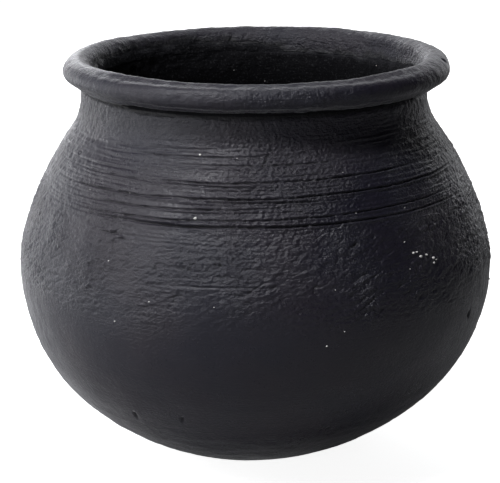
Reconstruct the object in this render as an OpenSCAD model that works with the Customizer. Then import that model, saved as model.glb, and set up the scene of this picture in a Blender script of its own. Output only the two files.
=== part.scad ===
// Round-bodied black clay cooking pot, hand built from coils.
// A bowl pressed over a mould carries four flattened coils that close in to a
// low neck, and one thick coil rolled round as the rim. Every piece of clay is a
// ring about the Z axis. They meet face to face at bevelled joints, where the
// potter lapped one coil over the other.
// Origin: centre of the foot, on the surface the pot stands on. +Z is up.

/* [Overall] */
// Outside diameter at the widest ring of the belly
belly_d = 220; // [200:2:236]
// Diameter of the flat that the pot stands on
foot_d = 56; // [40:2:70]
// Outside diameter of the upright neck
neck_d = 159.4; // [150:0.2:166]
// Outside diameter of the rolled rim
rim_d = 178; // [174:1:184]

/* [Wall] */
// Thickness of the wall
wall_t = 6.5; // [5:0.5:8]
// Thickness of the floor over the foot
floor_t = 7; // [6:0.5:9]
// Thickness of the rim coil
rim_t = 14; // [12:0.5:16]

/* [Outline] */
// Radius of the round bottom
bottom_curve_r = 122.5; // [121:0.5:130]
// Radius that turns the bottom up into the belly
lower_belly_r = 84; // [76:1:88]
// Radius that turns the belly in towards the shoulder
upper_belly_r = 54; // [40:1:70]
// Slope angle at which the belly gives way to the flatter shoulder
shoulder_start = 16; // [12:1:20]
// Radius of the shoulder
shoulder_r = 163; // [150:1:180]
// Radius of the hollow curve at the neck
neck_curve_r = 27; // [20:1:34]
// Height of the upright part of the neck, below the rim
neck_h = 4; // [3:0.5:6]

/* [Joints] */
// How far the first joint lies below the widest ring of the belly
first_joint_drop = 3; // [0:1:8]
// Slope of the bevel where one coil laps over another
lap_angle = 50; // [40:1:55]
// Rise of the last bevel, from the outside of the neck to the throat
ledge_rise = 2; // [1:0.5:3]

/* [Hidden] */
$fn = 128;
// Angle between neighbouring points on the wall's arcs
arc_step = 2.5;

belly_r = belly_d / 2;
foot_r = foot_d / 2;
neck_r = neck_d / 2;
throat_r = neck_r - wall_t;
roll_r = rim_t / 2;

// Bottom: a sphere centred on the axis, cut flat at the foot.
bottom_c = [0, sqrt(pow(bottom_curve_r, 2) - pow(foot_r, 2))];
bottom_in_r = bottom_curve_r - wall_t;
floor_in_r = sqrt(pow(bottom_in_r, 2) - pow(bottom_c[1] - floor_t, 2));

// Lower belly: an arc inside the bottom sphere, touching it, upright at the belly.
belly_inset = belly_r - lower_belly_r;
belly_h = bottom_c[1] - sqrt(pow(bottom_curve_r - lower_belly_r, 2) - pow(belly_inset, 2));
lower_c = [belly_inset, belly_h];
lower_angle = atan2(bottom_c[1] - belly_h, belly_inset);

// Upper belly and shoulder: two arcs that touch at shoulder_start.
upper_c = [belly_r - upper_belly_r, belly_h];
shoulder_c = upper_c - (shoulder_r - upper_belly_r) * direction(shoulder_start);

// Neck: a hollow arc that touches the shoulder and ends upright.
neck_c_r = neck_r + neck_curve_r;
neck_c_h = shoulder_c[1]
    + sqrt(pow(shoulder_r + neck_curve_r, 2) - pow(neck_c_r - shoulder_c[0], 2));
neck_c = [neck_c_r, neck_c_h];
neck_angle = atan2(neck_c[1] - shoulder_c[1], neck_c[0] - shoulder_c[0]);

// Rim: a round coil that sits on the bevelled top of the neck.
rim_joint_h = neck_c_h + neck_h;
roll_c_r = rim_d / 2 - roll_r;
roll_c = [roll_c_r, rim_joint_h + sqrt(pow(roll_r, 2) - pow(roll_c_r - neck_r, 2))];
roll_in_r = roll_c_r - roll_r;

// Joints: evenly spaced from just under the belly to the rim.
coil_count = 4;
first_joint_h = belly_h - first_joint_drop;
coil_h = (rim_joint_h - first_joint_h) / coil_count;
// The bevels are drawn a little past both faces of the wall.
joint_in_r = throat_r - 5;
joint_out_r = belly_r + 10;

// Clay colour, which differs a little from piece to piece
clay = [0.21, 0.21, 0.23];

function direction(angle) = [cos(angle), sin(angle)];

// Points along an arc, without its first point
function arc(centre, radius, from_angle, to_angle) =
    let (steps = max(1, round(abs(to_angle - from_angle) / arc_step)))
    [for (i = [1:steps])
        centre + radius * direction(from_angle + (to_angle - from_angle) * i / steps)];

// The wall's line at a given depth under its outer face, from the edge of the
// floor to the foot of the upright neck
function wall_line(depth, start) =
    let (
        bottom_r = bottom_curve_r - depth,
        start_angle = -acos(start[0] / bottom_r)
    )
    concat(
        [start],
        arc(bottom_c, bottom_r, start_angle, -lower_angle),
        arc(lower_c, lower_belly_r - depth, -lower_angle, 0),
        arc(upper_c, upper_belly_r - depth, 0, shoulder_start),
        arc(shoulder_c, shoulder_r - depth, shoulder_start, neck_angle),
        arc(neck_c, neck_curve_r + depth, 180 + neck_angle, 180)
    );
function backwards(points) = [for (i = [len(points) - 1:-1:0]) points[i]];

outer_line = wall_line(0, [foot_r, 0]);
inner_line = wall_line(wall_t, [floor_in_r, floor_t]);

// Height of joint k on the outer face, and of its bevel at radius r
function joint_h(k) = first_joint_h + k * coil_h;
function outside_r(h) = lookup(h, [for (p = outer_line) [p[1], p[0]]]);
function bevel_h(k, r) = joint_h(k) + (r - outside_r(joint_h(k))) * tan(lap_angle);
function bevel(k) = [for (r = [joint_in_r, joint_out_r]) [r, bevel_h(k, r)]];

// Half section of the wall, from the floor to the bevel under the rim
module wall_section() {
    polygon(concat(
        [[0, 0]],
        outer_line,
        [[neck_r, rim_joint_h], [throat_r, rim_joint_h + ledge_rise]],
        backwards(inner_line),
        [[0, floor_t]]
    ));
}

// One flattened coil of the wall, between joint k and joint k + 1
module wall_coil(k) {
    rotate_extrude() intersection() {
        wall_section();
        polygon(concat(bevel(k), backwards(bevel(k + 1))));
    }
}

// Bottom of the pot, pressed over a round mould up to the belly
module moulded_bowl() {
    lap = bevel(0);
    color(clay) rotate_extrude() intersection() {
        wall_section();
        polygon(concat([[0, 0], [joint_out_r, 0]], backwards(lap), [[0, lap[0][1]]]));
    }
}

// First coil, round the widest part
module belly_coil() {
    color(clay * 1.05) wall_coil(0);
}

// Second coil, where the wall starts to close in
module lower_shoulder_coil() {
    color(clay * 1.15) wall_coil(1);
}

// Third coil, which the potter scored with turning lines
module upper_shoulder_coil() {
    color(clay * 1.1) wall_coil(2);
}

// Fourth coil, drawn up into the neck and bevelled to take the rim
module neck_collar() {
    top_h = rim_joint_h + rim_t;
    color(clay * 0.95) rotate_extrude() intersection() {
        wall_section();
        polygon(concat(bevel(3), [[joint_out_r, top_h], [joint_in_r, top_h]]));
    }
}

// Rolled rim: a round coil with a foot that fills down to the neck's bevel. The
// neck stands a little further in than the roll, which leaves a ledge in the throat.
module rim_coil() {
    bevel_end_h = rim_joint_h + ledge_rise * (neck_r - roll_in_r) / wall_t;
    color(clay * 1.2) rotate_extrude() difference() {
        union() {
            translate(roll_c) circle(roll_r);
            polygon([[roll_in_r, bevel_end_h], [neck_r, rim_joint_h], roll_c, [roll_in_r, roll_c[1]]]);
        }
        polygon([
            [throat_r, rim_joint_h - rim_t],
            [neck_r, rim_joint_h - rim_t],
            [neck_r, rim_joint_h],
            [throat_r, rim_joint_h + ledge_rise]
        ]);
    }
}

moulded_bowl();
belly_coil();
lower_shoulder_coil();
upper_shoulder_coil();
neck_collar();
rim_coil();
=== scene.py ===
import itertools
import math

import bmesh
import bpy
import numpy as np
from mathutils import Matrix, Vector


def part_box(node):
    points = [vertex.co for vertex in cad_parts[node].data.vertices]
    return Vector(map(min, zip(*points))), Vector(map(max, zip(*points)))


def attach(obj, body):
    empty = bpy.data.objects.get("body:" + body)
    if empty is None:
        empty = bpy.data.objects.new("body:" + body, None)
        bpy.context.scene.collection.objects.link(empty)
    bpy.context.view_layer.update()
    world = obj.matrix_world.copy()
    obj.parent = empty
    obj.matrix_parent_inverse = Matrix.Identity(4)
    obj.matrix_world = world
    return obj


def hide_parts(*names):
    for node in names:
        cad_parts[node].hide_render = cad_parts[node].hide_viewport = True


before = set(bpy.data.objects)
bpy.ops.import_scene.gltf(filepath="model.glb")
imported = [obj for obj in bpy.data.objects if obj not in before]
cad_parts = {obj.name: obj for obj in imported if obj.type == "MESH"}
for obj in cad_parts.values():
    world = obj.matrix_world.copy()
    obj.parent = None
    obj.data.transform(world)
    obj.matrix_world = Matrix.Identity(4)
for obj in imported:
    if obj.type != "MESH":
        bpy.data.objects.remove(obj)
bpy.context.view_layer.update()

# Lengths are in millimetres until a mesh, lamp or camera is made. Angles are in degrees,
# round the pot from its front, positive to the right.
MM = 0.001

# ------------------------------------------------------------------ measures
BELLY_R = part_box("belly_coil")[1].x / MM
RIM_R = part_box("rim_coil")[1].x / MM

# The wall's outline, as in the CAD source
WALL_T = 6.5
FLOOR_T = 7.0
FOOT_R = 28.0
BOTTOM_CURVE_R = 122.5
LOWER_BELLY_R = 84.0
UPPER_BELLY_R = 54.0
SHOULDER_START = 16.0
SHOULDER_R = 163.0
NECK_CURVE_R = 27.0
NECK_R = 79.7
NECK_H = 4.0
ROLL_R = 7.0
LEDGE_RISE = 2.0
LAP_ANGLE = 50.0
FIRST_JOINT_DROP = 3.0
COIL_COUNT = 4

# Step along the outline, and points in each of its arcs
PATH_STEP = 0.1
ARC_POINTS = 240
# Lengths that the outline is averaged over: for the direction in which clay stands
# out from it, and where wet fingers wiped the ledge inside
NORMAL_BLUR = 2.0
WIPE_BLUR = 13.0


def direction(angle):
    """Unit vector at an angle in degrees."""
    angle = np.radians(angle)
    return np.stack([np.cos(angle), np.sin(angle)], -1)


def arc(centre, radius, start, end):
    """Points along an arc, in (radius, height)."""
    return np.array(centre) + radius * direction(np.linspace(start, end, ARC_POINTS))


BOTTOM_C = (0.0, math.sqrt(BOTTOM_CURVE_R**2 - FOOT_R**2))
BELLY_INSET = BELLY_R - LOWER_BELLY_R
BELLY_H = BOTTOM_C[1] - math.sqrt((BOTTOM_CURVE_R - LOWER_BELLY_R) ** 2 - BELLY_INSET**2)
LOWER_C = (BELLY_INSET, BELLY_H)
LOWER_ANGLE = math.degrees(math.atan2(BOTTOM_C[1] - BELLY_H, BELLY_INSET))
UPPER_C = np.array([BELLY_R - UPPER_BELLY_R, BELLY_H])
SHOULDER_C = UPPER_C - (SHOULDER_R - UPPER_BELLY_R) * direction(SHOULDER_START)
NECK_C_R = NECK_R + NECK_CURVE_R
NECK_C = (
    NECK_C_R,
    SHOULDER_C[1] + math.sqrt((SHOULDER_R + NECK_CURVE_R) ** 2 - (NECK_C_R - SHOULDER_C[0]) ** 2),
)
NECK_ANGLE = math.degrees(math.atan2(NECK_C[1] - SHOULDER_C[1], NECK_C[0] - SHOULDER_C[0]))
RIM_JOINT_H = NECK_C[1] + NECK_H
ROLL_C_R = RIM_R - ROLL_R
ROLL_C = (ROLL_C_R, RIM_JOINT_H + math.sqrt(ROLL_R**2 - (ROLL_C_R - NECK_R) ** 2))
ROLL_START = math.degrees(math.atan2(RIM_JOINT_H - ROLL_C[1], NECK_R - ROLL_C[0]))
ROLL_IN_R = ROLL_C[0] - ROLL_R
THROAT_R = NECK_R - WALL_T
LEDGE_START_H = RIM_JOINT_H + LEDGE_RISE * (NECK_R - ROLL_IN_R) / WALL_T
FLOOR_EDGE_R = math.sqrt((BOTTOM_CURVE_R - WALL_T) ** 2 - (BOTTOM_C[1] - FLOOR_T) ** 2)


def wall_line(depth, edge_r):
    """The wall's line at a depth under its outer face, from the foot up to the neck."""
    bottom_r = BOTTOM_CURVE_R - depth
    return np.concatenate([
        arc(BOTTOM_C, bottom_r, -math.degrees(math.acos(edge_r / bottom_r)), -LOWER_ANGLE),
        arc(LOWER_C, LOWER_BELLY_R - depth, -LOWER_ANGLE, 0),
        arc(UPPER_C, UPPER_BELLY_R - depth, 0, SHOULDER_START),
        arc(SHOULDER_C, SHOULDER_R - depth, SHOULDER_START, NECK_ANGLE),
        arc(NECK_C, NECK_CURVE_R + depth, 180 + NECK_ANGLE, 180),
    ])


corners = np.concatenate([
    [[0, 0]],
    wall_line(0, FOOT_R),
    [[NECK_R, RIM_JOINT_H]],
    arc(ROLL_C, ROLL_R, ROLL_START, 180),
    [[ROLL_IN_R, LEDGE_START_H], [THROAT_R, RIM_JOINT_H + LEDGE_RISE]],
    wall_line(WALL_T, FLOOR_EDGE_R)[::-1],
    [[0, FLOOR_T]],
])
# The whole skin as one path: up the outside, over the rim, down the inside
corner_s = np.concatenate([[0], np.cumsum(np.linalg.norm(np.diff(corners, axis=0), axis=1))])
SKIN_S = np.arange(0, corner_s[-1], PATH_STEP)
SKIN = np.stack([np.interp(SKIN_S, corner_s, corners[:, i]) for i in (0, 1)], -1)
SKIN_END = SKIN_S[-1]


def blurred(values, width):
    """Values along the skin, averaged over a width in millimetres."""
    n = int(width / PATH_STEP) | 1
    padded = np.pad(values, n // 2, mode="edge")
    return np.convolve(padded, np.ones(n) / n, mode="valid")


WIPED = np.stack([blurred(SKIN[:, i], WIPE_BLUR) for i in (0, 1)], -1)
tangent = np.gradient(SKIN, PATH_STEP, axis=0)
NORMAL = np.stack([blurred(tangent[:, 1], NORMAL_BLUR), blurred(-tangent[:, 0], NORMAL_BLUR)], -1)
NORMAL /= np.linalg.norm(NORMAL, axis=1, keepdims=True)


def corner_place(r, h):
    """Place along the skin of one corner of the outline."""
    return corner_s[np.argmin(np.linalg.norm(corners - [r, h], axis=1))]


def s_where(crossing, after=0.0, before=1e9):
    """First place between two others where a signed distance changes sign."""
    changes = np.nonzero(np.diff(np.sign(crossing)) != 0)[0]
    i = next(i for i in changes if after < SKIN_S[i] < before)
    share = crossing[i] / (crossing[i] - crossing[i + 1])
    return SKIN_S[i] + share * PATH_STEP


FOOT_EDGE_S = FOOT_R
RIM_JOINT_S = corner_place(NECK_R, RIM_JOINT_H)
LEDGE_S = corner_place(ROLL_IN_R, LEDGE_START_H)
THROAT_S = corner_place(THROAT_R, RIM_JOINT_H + LEDGE_RISE)
FIRST_JOINT_H = BELLY_H - FIRST_JOINT_DROP
COIL_H = (RIM_JOINT_H - FIRST_JOINT_H) / COIL_COUNT
# Where each joint between two coils meets the outer and the inner skin
OUT_S, IN_S = [], []
for k in range(COIL_COUNT):
    h = FIRST_JOINT_H + k * COIL_H
    s = s_where(SKIN[:, 1] - h, after=FOOT_EDGE_S, before=RIM_JOINT_S)
    r = np.interp(s, SKIN_S, SKIN[:, 0])
    bevel = h + (SKIN[:, 0] - r) * math.tan(math.radians(LAP_ANGLE))
    OUT_S.append(s)
    IN_S.append(s_where(SKIN[:, 1] - bevel, after=THROAT_S))

# --------------------------------------------------------------------- noise
NOISE_CELLS = 256
NOISE_GAIN = 1.6
rng = np.random.default_rng(20816)
PERM = np.tile(rng.permutation(NOISE_CELLS), 3)
GRADIENTS = rng.normal(size=(NOISE_CELLS, 3))
GRADIENTS = (GRADIENTS / np.linalg.norm(GRADIENTS, axis=1, keepdims=True)).astype(np.float32)


def noise(points, seed):
    """Gradient noise at points, from about -1 to 1."""
    last_cell = NOISE_CELLS - 1
    cell = np.floor(points).astype(np.int64)
    f = (points - cell).astype(np.float32)
    w = f * f * f * (f * (f * 6 - 15) + 10)
    total = np.zeros(points.shape[:-1], np.float32)
    for corner in itertools.product((0, 1), repeat=3):
        n = PERM[(cell[..., 0] + corner[0] + 37 * seed) & last_cell]
        n = PERM[n + ((cell[..., 1] + corner[1]) & last_cell)]
        n = PERM[n + ((cell[..., 2] + corner[2]) & last_cell)]
        dot = np.zeros_like(total)
        weight = np.ones_like(total)
        for axis in range(3):
            dot += GRADIENTS[n, axis] * (f[..., axis] - corner[axis])
            weight *= w[..., axis] if corner[axis] else 1 - w[..., axis]
        total += weight * dot
    return NOISE_GAIN * total


def smooth(x, low, high):
    """0 below low, 1 above high, and a smooth rise between."""
    t = np.clip((x - low) / (high - low), 0, 1)
    return t * t * (3 - 2 * t)


def bump(x, centre, width):
    """A bell of height 1."""
    return np.exp(-(((x - centre) / width) ** 2))


def turn(theta, centre):
    """Angle from centre to theta, in degrees from -180 to 180."""
    return (theta - centre + 180) % 360 - 180


# ------------------------------------------------------------ marks in the clay
# Turning grooves: height, depth, width, tilt, lowest side, middle angle, reach
GROOVES = [
    (160.3, 0.35, 0.34, 4.0, -90, -26, 32),
    (156.7, 0.60, 0.34, 2.2, -90, -16, 40),
    (155.6, 0.30, 0.28, 2.0, -90, -10, 30),
    (153.0, 0.50, 0.34, 0.5, -90, 2, 36),
    (151.6, 0.32, 0.28, 0.6, -90, -10, 30),
    (149.5, 0.60, 0.46, 1.0, -90, -46, 18),
    (149.8, 0.30, 0.30, 0.8, -90, 6, 30),
    (146.8, 0.80, 0.34, 1.2, -90, 12, 50),
    (144.9, 0.65, 0.34, -1.2, -90, -22, 46),
    (143.6, 0.32, 0.28, 0.4, -90, 6, 26),
    (140.6, 0.95, 0.38, 1.4, -90, 4, 74),
    (139.2, 0.70, 0.32, -0.6, -90, -2, 42),
    (138.1, 0.32, 0.28, 1.0, -90, -6, 30),
    (136.7, 0.60, 0.34, 2.4, -90, -22, 44),
    (135.0, 0.28, 0.28, 1.6, -90, -2, 34),
    (132.4, 0.75, 0.36, 2.0, -90, 8, 66),
    (129.8, 0.65, 0.42, 0.7, -90, 12, 66),
    (129.6, 0.65, 0.60, 0.7, -90, -4, 40),
    (128.2, 0.25, 0.30, 0.7, -90, -6, 26),
    (124.2, 0.40, 0.50, 1.5, -90, -34, 22),
    (122.3, 0.45, 0.50, 0.6, -90, -14, 20),
    (106.2, 0.40, 0.45, 1.0, -90, -9, 22),
]
# Lines round the back, where nothing says what they look like
BACK_GROOVES = [
    (156.0, 0.45, 0.36, 1.0, 60, 170, 80),
    (152.5, 0.30, 0.34, 1.0, 60, -170, 60),
    (149.0, 0.60, 0.38, 1.2, 60, -140, 70),
    (146.5, 0.50, 0.34, 1.4, 60, 150, 60),
    (141.5, 0.90, 0.42, 1.6, 60, 172, 96),
    (138.5, 0.55, 0.34, 1.4, 60, -165, 60),
    (133.0, 1.00, 0.50, 2.2, 60, 180, 95),
    (128.5, 0.45, 0.40, 1.5, 60, 120, 60),
]
# Thin ridges on the neck: height, middle angle, reach
NECK_RIDGES = [(160.5, 47, 26), (158.4, 38, 14)]
# Pits: angle, height, radius, depth
PITS = [
    (-34, 39, 0.9, 2.0), (-19, 41, 0.9, 1.6), (-22, 42, 0.6, 1.0), (22, 34, 1.0, 1.9),
    (20, 34, 0.7, 1.2), (61, 78, 1.2, 1.8), (-8, 115, 0.8, 0.8), (-1, 50, 0.7, 0.5),
    (-15, 133, 1.0, 0.7), (-4, 151, 0.6, 0.6), (-62, 150, 0.8, 0.9), (-58, 156, 0.7, 0.7),
    (-66, 128, 0.7, 0.8), (-75, 60, 0.9, 0.8), (170, 60, 1.0, 0.9), (-150, 120, 0.9, 0.8),
    (130, 96, 1.0, 0.9), (96, 40, 0.9, 0.8), (-120, 75, 0.8, 0.7),
]
# Half-moon edges left by a tool: angle, height, radius, depth
DENTS = [
    (-22, 112, 2.8, 0.8), (-14, 113, 2.6, 0.8), (-8, 115, 2.2, 0.7), (-34, 119, 4.0, 0.6),
    (4, 153, 2.6, 0.9), (14, 104, 2.4, 0.6), (-17, 100, 2.6, 0.6), (150, 112, 3.0, 0.7),
    (-128, 104, 3.0, 0.7),
]
# A pit on the outer side of the rim: angle, angle round the roll, and in millimetres the
# rim's radius there, the length of a degree round the roll, the pit's width and its depth
RIM_PIT_ANGLE, RIM_PIT_PHI = 79, 50
RIM_PIT_R, RIM_PIT_DEGREE, RIM_PIT_WIDTH, RIM_PIT_DEPTH = 86, 0.122, 1.15, 1.9
# How many degrees a groove takes to fade at its ends, and its first noise seed
GROOVE_FADE = 26
GROOVE_SEED = 40
# Heights between which the outer skin changes from one treatment to the next
SCRAPED_START, SCRAPED_END = (80, 98), (122, 132)
SCORED_START, SCORED_END = (122, 130), (160, 166)
NECK_START = (158, 166)
# How grainy the inside is
INSIDE_GRAIN = 0.9

# -------------------------------------------------------------------- relief
# Streaks round the wall are drawn on a drum of this radius
DRUM_R = 100
# How fast slanted streaks climb, and the angles at the back where they turn level
SLANT = 0.55
LEVEL_FROM = (130, 170)


class Places:
    """Angles and places along the skin, and the patterns that are drawn there."""

    def __init__(self, theta, s):
        self.theta, self.s = theta, s
        self.front = turn(theta, 0)
        self.r = np.interp(s, SKIN_S, SKIN[:, 0])
        self.z = np.interp(s, SKIN_S, SKIN[:, 1])
        self.cos, self.sin = np.cos(np.radians(theta)), np.sin(np.radians(theta))
        self.spot = np.stack([self.r * self.sin, -self.r * self.cos, self.z], -1)
        self.drum = np.stack([DRUM_R * self.sin, -DRUM_R * self.cos, s], -1)

    def lumps(self, size, seed):
        """Noise of one size in every direction."""
        return noise(self.spot / size, seed)

    def streaks(self, length, height, seed):
        """Noise drawn out level round the pot."""
        return noise(self.drum / np.array([length, length, height]), seed)

    def slanted(self, length, height, seed):
        """Streaks that climb to the right, and level ones at the back."""
        run = DRUM_R * np.radians(self.front)
        sloped = np.stack([run / length, 0 * run, (self.s - SLANT * run) / height], -1)
        at_back = smooth(np.abs(self.front), *LEVEL_FROM)
        return noise(sloped, seed) * (1 - at_back) + self.streaks(length, height, seed) * at_back

    def near(self, angle, reach, fade):
        """1 round an angle, and 0 further from it than reach."""
        return smooth(reach - np.abs(turn(self.theta, angle)), 0, fade)

    def across(self, angle):
        """Distance round the pot from an angle."""
        return np.radians(turn(self.theta, angle)) * self.r


def groove(p, height, depth, width, tilt, lowest, middle, reach, seed):
    """A scratched line round the wall, with a lip of clay pushed up on each side."""
    ring = np.stack([3 * p.cos, 3 * p.sin, np.zeros_like(p.theta)], -1)
    line = height - tilt * np.cos(np.radians(p.theta - lowest))
    line = line + 0.30 * noise(ring * 1.5, seed) + 0.12 * noise(ring * 10.0, seed + 3)
    strength = depth * (
        0.95 + 0.5 * noise(ring * 4.0, seed + 7) + 0.4 * noise(ring * 18.0, seed + 5))
    strength = np.maximum(strength, 0) * p.near(middle, reach, GROOVE_FADE)
    u = (p.z - line) / width
    lips = 0.55 * bump(u, -1.9, 1) + 0.30 * bump(u, 1.9, 1)
    return strength * (lips - bump(u, 0, 1))


def wall_skin(p, broad):
    """Shape, fine detail and graininess of the outer wall: a smoothed bottom, a scraped
    belly, a scored shoulder and a neck wiped with wet fingers."""
    edge = p.z + 8 * p.lumps(30, 21) + 3 * p.lumps(9, 22)
    low = 1 - smooth(edge, *SCRAPED_START)
    scraped = smooth(edge, *SCRAPED_START) * (1 - smooth(edge, *SCRAPED_END))
    scored = smooth(edge, *SCORED_START) * (1 - smooth(edge, *SCORED_END))
    neck = smooth(edge, *NECK_START)
    patch = np.clip(0.85 + 0.7 * p.lumps(20, 6), 0.4, 1.4)
    fine = low * (
        0.10 * p.streaks(22, 6.5, 3) + 0.08 * p.streaks(18, 2.6, 4) + 0.06 * p.lumps(3.0, 5))
    wiped_foot = smooth(p.z, 6, 14) * (1 - smooth(p.z, 34, 50))
    fine += wiped_foot * (0.12 * p.streaks(26, 1.2, 35) + 0.14 * p.lumps(4.0, 36))
    fine += scraped * patch * (
        0.20 * p.slanted(5.5, 2.6, 7) + 0.20 * p.lumps(2.6, 8) + 0.30 * p.streaks(7, 1.9, 24)
        + 0.24 * p.lumps(1.2, 23) - 0.9 * np.maximum(p.slanted(4.5, 1.8, 29) - 0.32, 0))
    fine += scored * patch * (
        0.30 * p.streaks(60, 0.9, 9) + 0.18 * p.lumps(2.2, 10) + 0.20 * p.streaks(12, 1.2, 11))
    # The middle of the shoulder is rough
    rough_middle = bump(p.front, 8, 22) * scored
    fine += rough_middle * 0.46 * p.lumps(1.15, 30)
    fine += neck * (0.16 * p.lumps(2.6, 12) + 0.14 * p.streaks(9, 4, 13))
    # The neck and shoulder are bumpier at the sides, and so is the belly
    high_sides = smooth(np.abs(p.front), 34, 60) * smooth(p.z, 112, 140) * (p.z < RIM_JOINT_H)
    fine += high_sides * (0.20 * p.lumps(3.2, 25) + 0.16 * p.lumps(1.9, 26))
    low_sides = smooth(np.abs(p.front), 50, 75) * smooth(p.z, 30, 60) * (1 - smooth(p.z, 112, 140))
    fine += low_sides * (0.20 * p.lumps(4.0, 31) + 0.20 * p.lumps(2.0, 32))
    for i, measures in enumerate(GROOVES + BACK_GROOVES):
        fine += groove(p, *measures, GROOVE_SEED + i)
    for height, middle, reach in NECK_RIDGES:
        fine += 0.5 * bump(p.z, height, 0.4) * p.near(middle, reach, 10)
    for angle, height, radius, depth in DENTS:
        across = p.across(angle)
        away = np.hypot(across, (p.z - height) * 1.2) + 0.8 * p.lumps(3, 37)
        inner = np.where(away < radius, (away / radius) ** 3, 0)
        fine -= depth * inner * smooth(p.z - height - across, -radius, radius)
    for angle, height, radius, depth in PITS:
        across = p.across(angle)
        fine -= depth * np.exp(-(((across**2 + (p.z - height) ** 2) / radius**2) ** 1.5))
    grain = (low * 0.35 + scraped * patch + neck * 0.8
             + scored * patch * (0.65 + 0.5 * smooth(p.front, -18, 0)))
    # The foot stays flat
    foot = smooth(p.z, 0.5, 8)
    return broad * foot, fine * foot, grain


def rim_skin(p, broad):
    """Shape, fine detail and graininess of the rolled rim. Its angle phi starts at the
    seam under it, passes 0 at its outer side and 90 at its top."""
    phi = (p.s - RIM_JOINT_S) / ROLL_R * 180 / math.pi + ROLL_START
    at_front = 0.1 + 0.9 * p.near(0, 72, 32)
    # Crest, shallow hollow under it, full lower half, undercut, flat underside, worn top
    profile = (
        at_front * (0.6 * bump(phi, 97, 10) - 0.8 * bump(phi, 66, 18)) - 0.35 * bump(phi, 10, 60)
        + at_front * 0.5 * bump(phi, 22, 30) - 1.2 * bump(phi, -56, 26)
        - 1.3 * bump(phi, -48, 34) * smooth(np.cos(np.radians(p.theta + 95)), 0.0, 0.8)
        - 0.8 * bump(phi, -80, 34) * smooth(p.front, -95, -65) * (1 - smooth(p.front, 18, 45))
        - 1.1 * bump(phi, 108, 32) * p.near(0, 50, 28)
    )
    lumps = 0.22 * p.lumps(17, 14) + 0.16 * p.lumps(6, 15)
    worked = (0.5 + 0.6 * smooth(phi, 112, 135)
              + 0.6 * bump(p.front, 8, 18) * (1 - smooth(phi, 50, 80)))
    fine = worked * (
        0.16 * p.lumps(1.9, 16) + 0.24 * p.lumps(3.6, 27) + 0.14 * p.streaks(7, 2.4, 28))
    pit_across = np.radians(turn(p.theta, RIM_PIT_ANGLE)) * RIM_PIT_R
    pit_along = (phi - RIM_PIT_PHI) * RIM_PIT_DEGREE
    fine_pit = -RIM_PIT_DEPTH * np.exp(-((pit_across**2 + pit_along**2) / RIM_PIT_WIDTH**2))
    return broad + profile + lumps, fine + fine_pit, worked


def inside_skin(p, broad):
    """Shape, fine detail and graininess of the inside: finger marks and a rough throat."""
    throat = bump(p.s, THROAT_S, 11)
    finger_marks = 0.3 * p.streaks(30, 9, 17)
    fine = (0.35 * p.streaks(6, 2.8, 18) + 0.3 * p.lumps(5, 33)) * throat
    fine += 0.22 * p.lumps(2.4, 19) * (0.4 + throat)
    # The middle of the floor stays flat
    end = smooth(SKIN_END - p.s, 0, 20)
    return (broad + finger_marks) * end, fine * end, INSIDE_GRAIN


def relief(p):
    """How far the clay stands out from the plain outline, how much of that is fine
    detail, and how grainy the clay is."""
    outside = p.s <= RIM_JOINT_S
    rim = (p.s > RIM_JOINT_S) & (p.s < LEDGE_S)
    broad = 0.30 * p.lumps(48, 1) + 0.16 * p.lumps(15, 2)
    skins = zip(wall_skin(p, broad), rim_skin(p, broad), inside_skin(p, broad))
    shape, fine, grain = (np.where(outside, on_wall, np.where(rim, on_rim, within))
                          for on_wall, on_rim, within in skins)
    # Seam under the rim, where the last coil was pressed on, and a nick below it
    seam_depth = 1.3 + 0.35 * p.lumps(20, 20)
    seam = -seam_depth * bump(p.s, RIM_JOINT_S - 0.2, 0.9 + 1.1 * smooth(p.front, -60, -36))
    seam -= 0.6 * bump(p.s, RIM_JOINT_S - 2.2, 0.5) * p.near(-33, 9, 5)
    fine = fine + seam
    return shape + fine, fine, grain


# The pot leans a little, and its rim isn't quite level or centred.
LEAN_FOOT, LEAN_NECK, LEAN_RIM, RIM_TILT = -2.2, -0.6, 0.95, 0.93
# Inside, the rim ends in a ridge at the back and is wiped smooth elsewhere.
RIDGE_MIDDLE, RIDGE_REACH = 163, 34
# Painted shade: the black reaches a little higher up the throat on the side the lamps leave in
# shade.
SHADED_SIDE_MIDDLE, SHADED_SIDE_SPREAD = -140, 6.0
# Above this much soot and painted shade, the clay counts as sooty and shaded.
SOOT_AND_SHADE_FROM = 0.5


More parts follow.
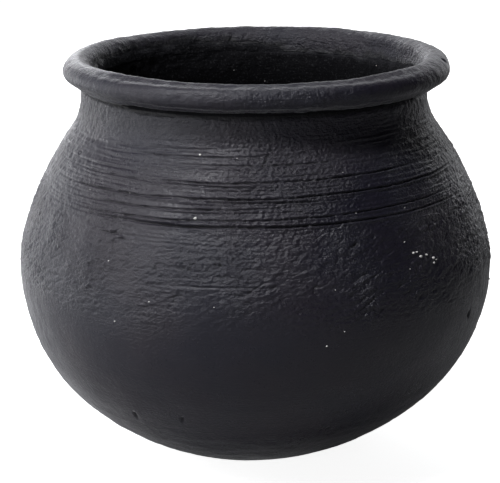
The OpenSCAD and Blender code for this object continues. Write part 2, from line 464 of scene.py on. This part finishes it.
def skin_points(theta, s):
    """The pot's skin at angles and places along it: points in metres, and at each one how hollow,
    grainy, sooty and rolled the clay is, from 0 to 1. The soot mark also carries painted shade:
    deep in the throat, higher on its shaded side and in the crease under the rim."""
    p = Places(theta, s)
    wiped = smooth(bump(s, (LEDGE_S + THROAT_S) / 2, 9), 0.1, 0.6)
    wiped = wiped * (1 - 0.75 * p.near(RIDGE_MIDDLE, RIDGE_REACH, 14))
    out, fine, grain = relief(p)
    r = p.r * (1 - wiped) + np.interp(s, SKIN_S, WIPED[:, 0]) * wiped
    z = p.z * (1 - wiped) + np.interp(s, SKIN_S, WIPED[:, 1]) * wiped
    r = r + out * np.interp(s, SKIN_S, NORMAL[:, 0])
    z = z + out * np.interp(s, SKIN_S, NORMAL[:, 1])
    x, y = r * p.sin, -r * p.cos
    # Soot inside, from the ledge down, and with it painted shade: the throat is blacked deeper
    # than the lamps shade it
    # Painted shade: on the throat's shaded side the black starts higher up
    lit_side = SHADED_SIDE_SPREAD * smooth(np.abs(turn(theta, SHADED_SIDE_MIDDLE)), 20, 60)
    ragged = 3 * noise(np.stack([x, y, z], -1) / 7, 34)
    soot_and_shade = smooth(s + ragged - lit_side, LEDGE_S - 12, LEDGE_S - 1)
    # Painted shade in the crease under the rim: the soot mark is raised there to turn it black
    crease_shade = 0.95 * bump(s, RIM_JOINT_S + 0.5, 2.0) * smooth(p.front, -58, -40)
    soot_and_shade = np.maximum(soot_and_shade, crease_shade)
    rolled = smooth(s, RIM_JOINT_S - 1, RIM_JOINT_S + 1) * (1 - smooth(s, LEDGE_S - 6, LEDGE_S))
    x = x + LEAN_FOOT * smooth(-z, -80, 0) + LEAN_NECK * smooth(z, 120, 174)
    x = x + LEAN_RIM * smooth(z, 172, 178)
    z = z + RIM_TILT * smooth(z, 90, 174) * x / RIM_R
    points = np.stack([x, y, np.maximum(z, 0)], -1) * MM
    return points, {"hollow": smooth(-fine, 0.15, 0.9), "grain": grain, "soot_and_shade": soot_and_shade,
                    "rolled": rolled}


# -------------------------------------------------------------------- meshes
# Points round each ring of clay, and the most rows in one, which keeps each piece under 200,000
# triangles
COLUMNS = 1100
MOST_ROWS = 88
THETA = np.arange(COLUMNS) * 360 / COLUMNS
# Rows of points on the inner and the outer skin
COIL_INSIDE_ROWS = 10
NECK_OUTSIDE_ROWS, NECK_INSIDE_ROWS = 62, 26
BOWL_OUTSIDE_ROWS, BOWL_INSIDE_ROWS = 68, 14
# Places of the rows under the foot, the first of them round the axis
POLE_S = 5.0
FOOT_ROWS = [POLE_S, 14, 22, 26]
# Margins in the unrolled map, the shortest row in it, and a joint's share
UV_SIDE, UV_STRIP = 0.002, 0.01
UV_SHORTEST, UV_JOINT = 0.3, 8


def strip_map(rows, pairs, tips, strips):
    """The ring unrolled into strips that lie over each other: a map place for each
    corner of each face, with the fans at the tips last."""
    length = np.concatenate([[0], np.cumsum(np.maximum(np.abs(np.diff(rows)), UV_SHORTEST))])
    length = np.append(length, length[-1] + UV_JOINT)
    v_of = length / length[-1]
    column = np.arange(COLUMNS)
    per_strip = COLUMNS // strips
    strip, place = column // per_strip, column % per_strip
    u0, u1 = (UV_SIDE + (1 - 2 * UV_SIDE) * (place + side) / per_strip for side in (0, 1))

    def height(v):
        return (strip + UV_STRIP + (1 - 2 * UV_STRIP) * v) / strips

    shape = (len(pairs), COLUMNS)
    v0, v1 = (height(v_of[first][:, None]) for first in (pairs[:, 0], pairs[:, 0] + 1))
    us = np.stack([np.broadcast_to(u, shape) for u in (u0, u1, u1, u0)], -1)
    uv = [np.stack([us, np.stack([v0, v0, v1, v1], -1)], -1).reshape(-1, 2)]
    for row in tips:
        a, b = (np.stack([u, height(v_of[row])], -1) for u in (u0, u1))
        uv.append(np.stack([a, b, (a + b) / 2], 1).reshape(-1, 2))
    return np.concatenate(uv)


def ring_mesh(name, runs, bottom_pole=False, strips=4):
    """A closed ring of clay. Each run is a row of places along the skin. Flat bevels
    join the runs, and the last run to the first unless the piece ends on the axis."""
    rows = np.concatenate(runs)
    n_rows = len(rows)
    ends = np.cumsum([len(run) for run in runs])
    corner_rows = sorted({0, n_rows - 1, *ends[:-1], *(ends[:-1] - 1)})
    points, marks = skin_points(*np.meshgrid(THETA, rows))
    points = points.reshape(-1, 3)
    column = np.arange(COLUMNS)
    following = (column + 1) % COLUMNS
    pairs = [(i, i + 1) for i in range(n_rows - 1)]
    if not bottom_pole:
        pairs.append((n_rows - 1, 0))
    pairs = np.array(pairs)
    lower, upper = pairs[:, :1] * COLUMNS, pairs[:, 1:] * COLUMNS
    faces = np.stack([lower + column, lower + following, upper + following, upper + column], -1)
    loops = faces.ravel()
    starts = np.arange(len(pairs) * COLUMNS) * 4
    tips = (0, n_rows - 1) if bottom_pole else ()
    if bottom_pole:
        # Fans of triangles close the foot and the floor
        centre = len(points)
        under = np.stack([following, column, np.full(COLUMNS, centre)], -1)
        last = (n_rows - 1) * COLUMNS
        floor_fan = np.stack([last + column, last + following, np.full(COLUMNS, centre + 1)], -1)
        fan = np.concatenate([under, floor_fan])
        middles = points[:COLUMNS].mean(0), points[-COLUMNS:].mean(0)
        points = np.concatenate([points, middles])
        starts = np.concatenate([starts, len(loops) + np.arange(len(fan)) * 3])
        loops = np.concatenate([loops, fan.ravel()])
    mesh = bpy.data.meshes.new(name)
    mesh.vertices.add(len(points))
    mesh.vertices.foreach_set("co", points.astype(np.float32).ravel())
    mesh.loops.add(len(loops))
    mesh.loops.foreach_set("vertex_index", loops.astype(np.int32))
    mesh.polygons.add(len(starts))
    mesh.polygons.foreach_set("loop_start", starts.astype(np.int32))
    mesh.update(calc_edges=True)
    mesh.polygons.foreach_set("use_smooth", np.ones(len(starts), bool))
    # Sharp edges where a bevelled joint meets the skin
    edges = np.zeros(len(mesh.edges) * 2, np.int32)
    mesh.edges.foreach_get("vertices", edges)
    edge_rows = np.minimum(edges.reshape(-1, 2) // COLUMNS, n_rows)
    on_corner = np.isin(edge_rows[:, 0], corner_rows) & (edge_rows[:, 0] == edge_rows[:, 1])
    on_corner &= ~np.isin(edge_rows[:, 0], tips)
    sharp = mesh.attributes.new("sharp_edge", "BOOLEAN", "EDGE")
    sharp.data.foreach_set("value", on_corner)
    layer = mesh.uv_layers.new(name="OFBake")
    uv = strip_map(rows, pairs, tips, strips)
    layer.data.foreach_set("uv", uv.astype(np.float32).ravel())
    for key, values in marks.items():
        mark = mesh.attributes.new(key, "FLOAT", "POINT")
        mark.data.foreach_set("value", np.resize(values, len(points)).astype(np.float32))
    # Fired clay is the first material, and sooty clay with painted shade the second
    soot_and_shade = marks["soot_and_shade"]
    sooty_and_shaded = (soot_and_shade[pairs[:, 0]] + soot_and_shade[pairs[:, 1]]) / 2 > SOOT_AND_SHADE_FROM
    material = sooty_and_shaded.astype(np.int32).ravel()
    if bottom_pole:
        material = np.concatenate([material, np.repeat([0, 1], COLUMNS).astype(np.int32)])
    mesh.polygons.foreach_set("material_index", material)
    mesh.validate(verbose=False)
    piece = bpy.data.objects.new(name, mesh)
    bpy.context.scene.collection.objects.link(piece)
    return piece


def wall_coil(name, k):
    """The coil of clay between joint k and joint k + 1."""
    return ring_mesh(name, [
        np.linspace(OUT_S[k], OUT_S[k + 1], MOST_ROWS - COIL_INSIDE_ROWS),
        np.linspace(IN_S[k + 1], IN_S[k], COIL_INSIDE_ROWS)])


pieces = {
    "moulded_bowl": ring_mesh("bowl_clay", [
        np.concatenate([FOOT_ROWS, np.linspace(FOOT_EDGE_S, OUT_S[0], BOWL_OUTSIDE_ROWS)]),
        np.linspace(IN_S[0], SKIN_END - POLE_S, BOWL_INSIDE_ROWS)], bottom_pole=True, strips=2),
    "belly_coil": wall_coil("belly_coil_clay", 0),
    "lower_shoulder_coil": wall_coil("lower_shoulder_coil_clay", 1),
    "upper_shoulder_coil": wall_coil("upper_shoulder_coil_clay", 2),
    "neck_collar": ring_mesh("neck_collar_clay", [
        np.linspace(OUT_S[3], RIM_JOINT_S, NECK_OUTSIDE_ROWS),
        np.linspace(LEDGE_S, IN_S[3], NECK_INSIDE_ROWS)]),
    "rim_coil": ring_mesh("rim_coil_clay", [np.linspace(RIM_JOINT_S, LEDGE_S, MOST_ROWS)]),
}


# Grains of pale grit: angle, height, size
GRIT = [
    (-15, 133, 0.66), (-16, 157, 0.42), (-5, 156, 0.20), (-35, 140, 0.18), (-35, 131, 0.16),
    (-49, 138, 0.22), (-36, 112, 0.30), (-33, 87, 0.36), (-24, 98, 0.28), (-9, 98, 0.20),
    (16, 80, 0.40), (20, 86, 0.24), (18, 104, 0.22), (40, 114, 0.55), (41, 114, 0.40),
    (42, 112, 0.60), (44, 112, 0.50), (46, 110, 0.55), (46, 108, 0.45), (47, 109, 0.35),
    (38, 119, 0.26), (38, 108, 0.24), (26, 133, 0.24), (25, 149, 0.24), (41, 132, 0.22),
]
INSIDE_GRIT = [(-172, 167, 0.22), (127, 174, 0.20), (176, 161, 0.20)]
# Grains scattered round the back: how many, and the angles and sizes they lie between
BACK_GRIT_COUNT = 18
BACK_GRIT_ANGLES = (70, 290)
BACK_GRIT_SIZES = (0.22, 0.45)
BACK_GRIT_PLACES = (OUT_S[0] - 30, RIM_JOINT_S - 8)
# A grain's stretch along each axis, and how crooked it is
GRAIN_SHAPE = (1.25, 1.25, 0.9)
GRAIN_CROOKED, GRAIN_SEED = 0.35, 60


def grain_points(angle, s, size):
    """One crooked grain, sunk half into the skin, as points and triangles."""
    middle = skin_points(np.array([[float(angle)]]), np.array([[float(s)]]))[0]
    ball = bmesh.new()
    bmesh.ops.create_icosphere(ball, subdivisions=2, radius=size * MM)
    shape = np.array([v.co for v in ball.verts])
    faces = [[v.index for v in f.verts] for f in ball.faces]
    ball.free()
    shape *= 1 + GRAIN_CROOKED * noise(shape / (size * MM) + angle, GRAIN_SEED)[:, None]
    shape *= np.array(GRAIN_SHAPE)
    return middle[0, 0] + shape, faces


def grit_mesh(name):
    """Every grain of grit, as small closed shapes in one piece."""
    outside = (SKIN_S > FOOT_EDGE_S) & (SKIN_S < RIM_JOINT_S)
    inside = SKIN_S > THROAT_S
    grains = [(angle, np.interp(z, SKIN[outside, 1], SKIN_S[outside]), size)
              for angle, z, size in GRIT]
    grains += [(angle, np.interp(-z, -SKIN[inside, 1], SKIN_S[inside]), size)
               for angle, z, size in INSIDE_GRIT]
    between = (BACK_GRIT_ANGLES, BACK_GRIT_PLACES, BACK_GRIT_SIZES)
    grains += [tuple(rng.uniform(*ends) for ends in between) for i in range(BACK_GRIT_COUNT)]
    points, faces = [], []
    for angle, s, size in grains:
        shape, triangles = grain_points(angle, s, size)
        faces += [[i + len(points) for i in triangle] for triangle in triangles]
        points += shape.tolist()
    mesh = bpy.data.meshes.new(name)
    mesh.from_pydata(points, [], faces)
    mesh.polygons.foreach_set("use_smooth", np.ones(len(faces), bool))
    piece = bpy.data.objects.new(name, mesh)
    bpy.context.scene.collection.objects.link(piece)
    return piece


# ----------------------------------------------------------------- materials
COOL_CLAY = (0.0105, 0.0100, 0.0185, 1)
WARM_CLAY = (0.0155, 0.0125, 0.0200, 1)
DUSTY_CLAY = (0.045, 0.045, 0.050, 1)
# The sooty clay's grey where it starts is lighter than the fired clay's: painted sheen, standing
# in for the gloss and sheen the sooty clay lacks
SOOT_EDGE_PAINTED_SHEEN = (0.018, 0.018, 0.021, 1)
# Pale specks on the sooty clay: dust, and painted glints
SOOT_DUST_AND_PAINTED_GLINTS = (0.09, 0.09, 0.095, 1)
BLACK = (0.003, 0.003, 0.004, 1)
DARK_GRIT = (0.45, 0.44, 0.42, 1)
LIGHT_GRIT = (0.80, 0.79, 0.76, 1)
# Painted shade: how far hollows are darkened towards black
HOLLOW_SHADE = 0.7
CLAY_ROUGH, SOOT_ROUGH = (0.30, 0.40), (0.45, 0.60)
CLAY_SPECULAR, SOOT_SPECULAR = 0.5, 0.12
CLAY_SHEEN, SOOT_SHEEN = 0.3, 0.0
SHEEN_ROUGH = 0.25
GRIT_ROUGH = 0.45
# How much duller hollow clay, sooty and shaded clay, and rolled clay are
HOLLOW_DULL, SOOT_DULL, ROLLED_DULL = 0.15, 0.3, 0.08
BUMP_STRENGTH = 1.0
BUMP_DEPTH = 0.8
SCRATCH_SHARE = 0.35


class Graph:
    """Short ways to add nodes to a material."""

    def __init__(self, name):
        self.material = bpy.data.materials.new(name)
        self.material.use_nodes = True
        self.nodes = self.material.node_tree.nodes
        self.links = self.material.node_tree.links
        self.shader = self.nodes["Principled BSDF"]
        self.place = self.add("ShaderNodeTexCoord").outputs["Object"]

    def add(self, kind, **settings):
        made = self.nodes.new(kind)
        for key, value in settings.items():
            setattr(made, key, value)
        return made

    def plug(self, socket, value):
        if isinstance(value, bpy.types.NodeSocket):
            self.links.new(value, socket)
        else:
            socket.default_value = value

    def mark(self, name):
        """A value from 0 to 1 that skin_points left on the mesh."""
        return self.add("ShaderNodeAttribute", attribute_name=name).outputs["Fac"]

    def noise(self, size, height=None, detail=2.0, roughness=0.5, shift=0.0):
        """Noise whose grains are size wide and height tall, in millimetres."""
        height = height or size
        mapping = self.add("ShaderNodeMapping")
        mapping.inputs["Location"].default_value = (shift, shift, shift)
        mapping.inputs["Scale"].default_value = (1 / size / MM, 1 / size / MM, 1 / height / MM)
        self.plug(mapping.inputs["Vector"], self.place)
        texture = self.add("ShaderNodeTexNoise")
        self.plug(texture.inputs["Vector"], mapping.outputs["Vector"])
        texture.inputs["Scale"].default_value = 1.0
        texture.inputs["Detail"].default_value = detail
        texture.inputs["Roughness"].default_value = roughness
        return texture.outputs["Fac"]

    def spread(self, value, low, high, to_low, to_high):
        """value from low to high, mapped to a new range and held at its ends."""
        made = self.add("ShaderNodeMapRange")
        for i, x in enumerate((value, low, high, to_low, to_high)):
            self.plug(made.inputs[i], x)
        return made.outputs["Result"]

    def math(self, operation, a, b):
        made = self.add("ShaderNodeMath", operation=operation)
        self.plug(made.inputs[0], a)
        self.plug(made.inputs[1], b)
        return made.outputs[0]

    def mix(self, share, a, b):
        made = self.add("ShaderNodeMix", data_type="RGBA")
        self.plug(made.inputs["Factor"], share)
        self.plug(made.inputs["A"], a)
        self.plug(made.inputs["B"], b)
        return made.outputs["Result"]


def clay_surface(name, cool, warm, dust_and_glint_colour, rough, specular, sheen, soot_and_shade_range):
    """A dark clay skin. rough gives the roughness of its smoothest and dullest patches, and the
    last range the amount of the soot mark, soot and painted shade, that turns it from its own
    colour to black."""
    g = Graph(name)
    hollow, grainy = g.mark("hollow"), g.mark("grain")
    sooty_and_shaded, rolled = g.mark("soot_and_shade"), g.mark("rolled")
    # Colour: charcoal that turns a little blue or brown, black with soot and painted shade, darker
    # in its hollows as painted shade, with fine specks of dust, which on the sooty clay are paler
    # and stand in for glints as painted highlights
    clouds = g.spread(g.noise(38, detail=3), 0.38, 0.62, 0, 1)
    colour = g.mix(clouds, cool, warm)
    # Soot and painted shade: the soot mark turns the colour black
    colour = g.mix(g.spread(sooty_and_shaded, *soot_and_shade_range, 0, 1), colour, BLACK)
    dust_and_glint_specks = g.spread(g.noise(0.9, detail=3, shift=3.1), 0.55, 0.85, 0, 0.5)
    colour = g.mix(g.math("MULTIPLY", dust_and_glint_specks, grainy), colour, dust_and_glint_colour)
    # Painted shade in the hollows: the deeper the relief sinks, the darker the colour
    colour = g.mix(g.math("MULTIPLY", hollow, HOLLOW_SHADE), colour, BLACK)
    g.plug(g.shader.inputs["Base Color"], colour)
    # Gloss: smoothed patches among duller ones, dull hollows
    patches = g.spread(g.noise(16, 9, detail=3, shift=7.7), 0.3, 0.7, *rough)
    grain_gloss = g.spread(g.noise(0.8, detail=2, shift=9.0), 0.3, 0.7, -0.08, 0.08)
    gloss = g.math("ADD", patches, grain_gloss)
    for mark, dull in ((hollow, HOLLOW_DULL), (sooty_and_shaded, SOOT_DULL), (rolled, ROLLED_DULL)):
        gloss = g.math("ADD", gloss, g.math("MULTIPLY", mark, dull))
    g.plug(g.shader.inputs["Roughness"], gloss)
    g.shader.inputs["Specular IOR Level"].default_value = specular
    g.shader.inputs["Sheen Weight"].default_value = sheen
    g.shader.inputs["Sheen Roughness"].default_value = SHEEN_ROUGH
    # Bump: grain, and fine sideways scratches from smoothing the wall
    grain = g.noise(1.5, 1.1, detail=4, roughness=0.62, shift=1.3)
    scratch = g.noise(9.0, 0.7, detail=2, shift=5.2)
    height = g.math("ADD", grain, g.math("MULTIPLY", scratch, SCRATCH_SHARE))
    height = g.math("MULTIPLY", height, grainy)
    skin = g.add("ShaderNodeBump")
    skin.inputs["Strength"].default_value = BUMP_STRENGTH
    skin.inputs["Distance"].default_value = BUMP_DEPTH * MM
    g.plug(skin.inputs["Height"], height)
    g.plug(g.shader.inputs["Normal"], skin.outputs["Normal"])
    return g.material


clay = clay_surface("black_clay_fired", COOL_CLAY, WARM_CLAY, DUSTY_CLAY, CLAY_ROUGH,
                    CLAY_SPECULAR, CLAY_SHEEN, (0, SOOT_AND_SHADE_FROM))
# Sooty clay, which also carries painted shade deep in the throat and in the crease under the rim
soot_and_shade = clay_surface("black_clay_sooty_and_shaded", SOOT_EDGE_PAINTED_SHEEN, SOOT_EDGE_PAINTED_SHEEN, SOOT_DUST_AND_PAINTED_GLINTS, SOOT_ROUGH,
                    SOOT_SPECULAR, SOOT_SHEEN, (SOOT_AND_SHADE_FROM, 1))
for node, piece in pieces.items():
    piece.data.materials.append(clay)
    piece.data.materials.append(soot_and_shade)
    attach(piece, "root")
    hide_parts(node)

g = Graph("pale_grit")
speckle = g.spread(g.noise(0.5, detail=2), 0.35, 0.65, 0, 1)
g.plug(g.shader.inputs["Base Color"], g.mix(speckle, DARK_GRIT, LIGHT_GRIT))
g.shader.inputs["Roughness"].default_value = GRIT_ROUGH
grit = grit_mesh("pale_grit_grains")
grit.data.materials.append(g.material)
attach(grit, "root")

# --------------------------------------------------------------------- stage
FLOOR_HALF = 6.0
FLOOR_ROUGH = 0.9
# The floor and the world look white to the camera, and light the pot less than that
FLOOR_SHADE, FLOOR_BOUNCE = 0.8, 0.3
FLOOR_GLOW = 0.9
WORLD_WHITE, WORLD_LIGHT = 1.0, 0.005
WHITE = (1, 1, 1, 1)
LAMP_COLOUR = (0.98, 0.99, 1.02)
CENTRE = Vector((0, 0, BELLY_H * MM))
# Soft boxes: name, place and aim in metres, width, height, power in watts. The last
# one lights the floor on the left, and through it the left flank.
LIGHTS = [
    ("left_box", (-1.3, 0.0, 0.35), CENTRE, 1.0, 1.2, 6.3),
    ("left_back_box", (-1.1, 0.7, 0.35), CENTRE, 0.7, 1.2, 1.8),
    ("back_left_box", (-0.7, 1.15, 0.3), CENTRE, 0.5, 1.2, 2.4),
    ("edge_left_box", (-0.35, 1.3, 0.25), CENTRE, 0.35, 1.2, 5.6),
    ("high_left_box", (-0.9, -0.7, 1.1), CENTRE, 0.5, 0.5, 5.4),
    ("key_box", (-0.3, -0.5, 1.25), CENTRE, 0.3, 0.3, 11.0),
    ("front_box", (-0.3, -1.4, 0.5), CENTRE, 0.4, 0.4, 1.4),
    ("back_top_box", (0.1, 1.0, 1.0), CENTRE, 1.0, 0.6, 2.2),
    ("back_low_box", (-0.1, 1.4, 0.62), CENTRE, 1.2, 0.4, 2.5),
    ("back_right_box", (0.7, 1.15, 0.3), CENTRE, 0.5, 1.2, 2.0),
    ("low_left_box", (-1.0, -0.65, 0.02), CENTRE, 0.5, 0.3, 4.4),
    ("low_back_box", (-1.0, 0.6, 0.10), CENTRE, 0.8, 0.20, 1.5),
    ("left_floor_box", (-0.32, 0.12, 0.10), (-0.32, 0.12, 0), 0.35, 0.35, 0.85),
]


def seen_or_not(nodes, links, seen, unseen):
    """A value that is one thing to the camera and another to the rest of the scene."""
    path = nodes.new("ShaderNodeLightPath")
    made = nodes.new("ShaderNodeMapRange")
    made.inputs["To Min"].default_value = unseen
    made.inputs["To Max"].default_value = seen
    links.new(path.outputs["Is Camera Ray"], made.inputs["Value"])
    return made.outputs["Result"]


def soft_box(name, place, aim, width, height, power):
    lamp = bpy.data.lights.new(name, "AREA")
    lamp.shape = "RECTANGLE"
    lamp.size, lamp.size_y = width, height
    lamp.energy = power
    lamp.color = LAMP_COLOUR
    holder = bpy.data.objects.new(name, lamp)
    holder.visible_camera = False
    holder.location = place
    holder.rotation_mode = "QUATERNION"
    holder.rotation_quaternion = (Vector(aim) - Vector(place)).to_track_quat("-Z", "Y")
    bpy.context.scene.collection.objects.link(holder)


floor_mesh = bpy.data.meshes.new("stage_floor")
floor_corners = [(x * FLOOR_HALF, y * FLOOR_HALF, 0)
                 for x, y in ((-1, -1), (1, -1), (1, 1), (-1, 1))]
floor_mesh.from_pydata(floor_corners, [], [(0, 1, 2, 3)])
floor = bpy.data.objects.new("stage_floor", floor_mesh)
bpy.context.scene.collection.objects.link(floor)
floor_material = bpy.data.materials.new("pale_floor")
floor_material.use_nodes = True
nodes, links = floor_material.node_tree.nodes, floor_material.node_tree.links
shader = nodes["Principled BSDF"]
shader.inputs["Roughness"].default_value = FLOOR_ROUGH
shader.inputs["Emission Color"].default_value = WHITE
links.new(seen_or_not(nodes, links, FLOOR_SHADE, FLOOR_BOUNCE), shader.inputs["Base Color"])
links.new(seen_or_not(nodes, links, FLOOR_GLOW, 0), shader.inputs["Emission Strength"])
floor_mesh.materials.append(floor_material)

world = bpy.data.worlds.new("studio")
bpy.context.scene.world = world
world.use_nodes = True
nodes, links = world.node_tree.nodes, world.node_tree.links
background = nodes["Background"]
background.inputs["Color"].default_value = WHITE
links.new(seen_or_not(nodes, links, WORLD_WHITE, WORLD_LIGHT), background.inputs["Strength"])

for light in LIGHTS:
    soft_box(*light)

# -------------------------------------------------------------------- camera
DISTANCE = 0.9
ELEVATION = math.radians(15.25)
SENSOR_WIDTH, LENS = 36, 137.3
CLIP_START, CLIP_END = 0.01, 50
# The photo isn't centred on the belly
AIM = CENTRE + Vector((-0.0025, 0.0018, 0.0064))
camera = bpy.data.objects.new("camera", bpy.data.cameras.new("camera"))
bpy.context.scene.collection.objects.link(camera)
camera.data.sensor_width = SENSOR_WIDTH
camera.data.lens = LENS
camera.data.clip_start, camera.data.clip_end = CLIP_START, CLIP_END
camera.location = CENTRE + DISTANCE * Vector((0, -math.cos(ELEVATION), math.sin(ELEVATION)))
camera.rotation_mode = "QUATERNION"
camera.rotation_quaternion = (AIM - camera.location).to_track_quat("-Z", "Y")
bpy.context.scene.camera = camera
bpy.context.scene.view_settings.view_transform = "Standard"
